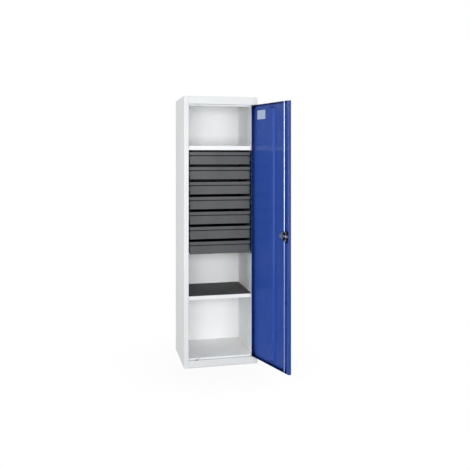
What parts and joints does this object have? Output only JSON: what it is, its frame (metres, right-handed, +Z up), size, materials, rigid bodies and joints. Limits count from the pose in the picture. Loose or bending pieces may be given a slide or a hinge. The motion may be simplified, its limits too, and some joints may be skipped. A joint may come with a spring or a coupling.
{
  "type": "tool cabinet",
  "caption": "Tall sheet-steel tool cabinet with an open hinged door, rod lock, drawers on runners and shelves.",
  "frame": {"origin": "on the floor, under the middle of the carcass's width and depth", "axes": "+Z up, +Y from the door side to the back, +X to the right as seen from the front"},
  "size_m": [0.6161, 0.8716, 1.8],
  "materials": {
    "carcass_paint": "satin",
    "liner_paint": "satin",
    "shelf_paint": "satin",
    "door_paint": "satin",
    "drawer_paint": "satin",
    "zinc_steel": "satin",
    "bright_steel": "gloss",
    "black_plastic": "satin",
    "glide_nylon": "satin",
    "mat_rubber": "matt",
    "buffer_rubber": "satin",
    "label_film": "satin"
  },
  "bodies": {
    "cabinet": {"left_side_panel": "carcass_paint", "right_side_panel": "carcass_paint", "back_panel": "carcass_paint", "top_panel": "carcass_paint", "plinth": "carcass_paint", "floor_panel": "liner_paint", "left_liner": "liner_paint", "right_liner": "liner_paint", "upper_shelf": "shelf_paint", "lower_shelf": "shelf_paint", "shelf_mat": "mat_rubber", "shelf_clips": "zinc_steel", "hinge_pins": "zinc_steel", "door_buffers": "buffer_rubber", "left_fixed_rails": "zinc_steel", "right_fixed_rails": "zinc_steel", "packing_posts": "drawer_paint", "runner_glides": "glide_nylon"},
    "door": {"door_panel": "door_paint", "door_stiffener": "door_paint", "label_plate": "label_film", "hinge_bushes": "black_plastic", "rod_guides": "door_paint", "lock_case": "black_plastic", "bolt_guide": "zinc_steel", "rosette": "black_plastic"},
    "handle": {"turn_handle": "black_plastic", "lock_spindle": "zinc_steel", "lock_cam": "zinc_steel"},
    "lock_cylinder": {"lock_cylinder": "bright_steel"},
    "upper_rod": {"upper_rod": "zinc_steel"},
    "lower_rod": {"lower_rod": "zinc_steel"},
    "latch_bolt": {"latch_bolt": "zinc_steel"},
    "drawer_1": {"drawer_1_tray": "drawer_paint", "drawer_1_front": "drawer_paint", "drawer_1_runners": "zinc_steel"},
    "drawer_2": {"drawer_2_tray": "drawer_paint", "drawer_2_front": "drawer_paint", "drawer_2_runners": "zinc_steel"},
    "drawer_3": {"drawer_3_tray": "drawer_paint", "drawer_3_front": "drawer_paint", "drawer_3_runners": "zinc_steel"},
    "drawer_4": {"drawer_4_tray": "drawer_paint", "drawer_4_front": "drawer_paint", "drawer_4_runners": "zinc_steel"},
    "drawer_5": {"drawer_5_tray": "drawer_paint", "drawer_5_front": "drawer_paint", "drawer_5_runners": "zinc_steel"},
    "drawer_6": {"drawer_6_tray": "drawer_paint", "drawer_6_front": "drawer_paint", "drawer_6_runners": "zinc_steel"},
    "drawer_7": {"drawer_7_tray": "drawer_paint", "drawer_7_front": "drawer_paint", "drawer_7_runners": "zinc_steel"}
  },
  "joints": [
    {"name": "door_hinge", "type": "hinge", "parent": "cabinet", "child": "door", "pos_m": [0.225, -0.22, 0.9], "axis": [0, 0, 1], "range_deg": [-107, 0]},
    {"name": "handle_turn", "type": "hinge", "parent": "door", "child": "handle", "pos_m": [0.34611, -0.60073, 0.9], "axis": [0.9563, 0.2924, 0], "range_deg": [-90, 0]},
    {"name": "key_turn", "type": "hinge", "parent": "handle", "child": "lock_cylinder", "pos_m": [0.34611, -0.60073, 0.9], "axis": [0.9563, 0.2924, 0], "range_deg": [-90, 0]},
    {"name": "upper_rod_slide", "type": "slide", "parent": "door", "child": "upper_rod", "axis": [0, 0, 1], "range_m": [0, 0.0121]},
    {"name": "lower_rod_slide", "type": "slide", "parent": "door", "child": "lower_rod", "axis": [0, 0, -1], "range_m": [0, 0.0121]},
    {"name": "latch_bolt_slide", "type": "slide", "parent": "door", "child": "latch_bolt", "axis": [0.2924, -0.9563, 0], "range_m": [0, 0.0121]},
    {"name": "drawer_1_slide", "type": "slide", "parent": "cabinet", "child": "drawer_1", "axis": [0, -1, 0], "range_m": [0, 0.272]},
    {"name": "drawer_2_slide", "type": "slide", "parent": "cabinet", "child": "drawer_2", "axis": [0, -1, 0], "range_m": [0, 0.272]},
    {"name": "drawer_3_slide", "type": "slide", "parent": "cabinet", "child": "drawer_3", "axis": [0, -1, 0], "range_m": [0, 0.272]},
    {"name": "drawer_4_slide", "type": "slide", "parent": "cabinet", "child": "drawer_4", "axis": [0, -1, 0], "range_m": [0, 0.272]},
    {"name": "drawer_5_slide", "type": "slide", "parent": "cabinet", "child": "drawer_5", "axis": [0, -1, 0], "range_m": [0, 0.272]},
    {"name": "drawer_6_slide", "type": "slide", "parent": "cabinet", "child": "drawer_6", "axis": [0, -1, 0], "range_m": [0, 0.272]},
    {"name": "drawer_7_slide", "type": "slide", "parent": "cabinet", "child": "drawer_7", "axis": [0, -1, 0], "range_m": [0, 0.272]}
  ],
  "couplings": [
    {"joint": "upper_rod_slide", "follows": "handle_turn", "m_per_rad": -0.0076394},
    {"joint": "lower_rod_slide", "follows": "handle_turn", "m_per_rad": -0.0076394},
    {"joint": "latch_bolt_slide", "follows": "handle_turn", "m_per_rad": -0.0076394}
  ]
}
